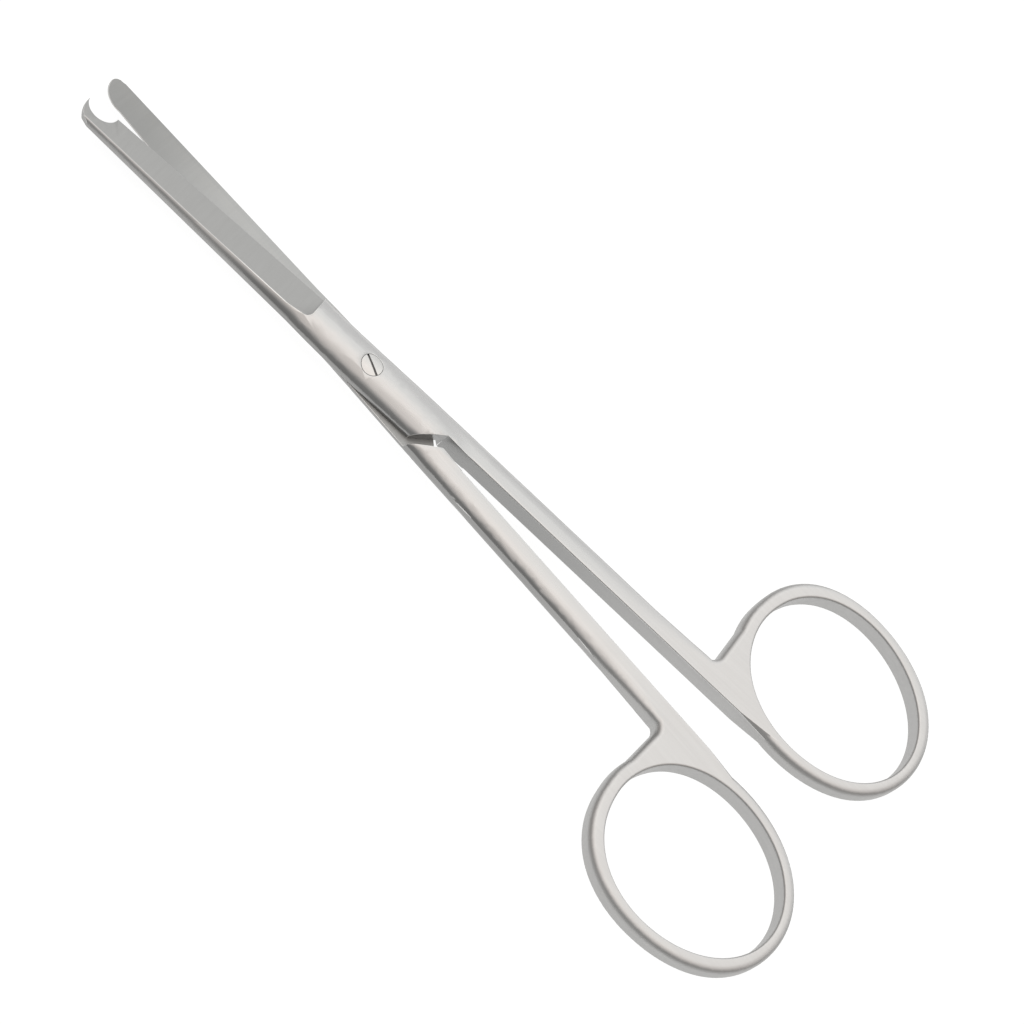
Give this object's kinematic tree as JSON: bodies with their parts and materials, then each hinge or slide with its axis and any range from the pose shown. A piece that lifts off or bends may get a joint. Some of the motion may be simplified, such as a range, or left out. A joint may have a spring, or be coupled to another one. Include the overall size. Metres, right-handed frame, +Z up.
{
  "type": "suture scissors",
  "caption": "Small stainless scissors with a hooked blade for lifting and cutting stitches, finger rings, slim shanks and a slotted pivot screw.",
  "frame": {"origin": "centre of the bounding box in plan, at its lowest point", "axes": "X along the scissors from the finger rings to the blade tips, Y across them towards the straight half's ring, Z up along the pivot axis"},
  "size_m": [0.1404, 0.0644, 0.0039],
  "materials": {
    "stainless": "satin stainless steel with a matt ground blade face",
    "screw_steel": "satin stainless steel screw, flush with the joint"
  },
  "bodies": {
    "straight_half": {"straight_half": "stainless", "pivot_screw": "screw_steel"},
    "hook_half": {"hook_half": "stainless"}
  },
  "joints": [
    {"name": "pivot", "type": "hinge", "parent": "straight_half", "child": "hook_half", "pos_m": [0.01998, 0, 0.00197], "axis": [0, 0, 1], "range_deg": [-5.9, 135]}
  ]
}
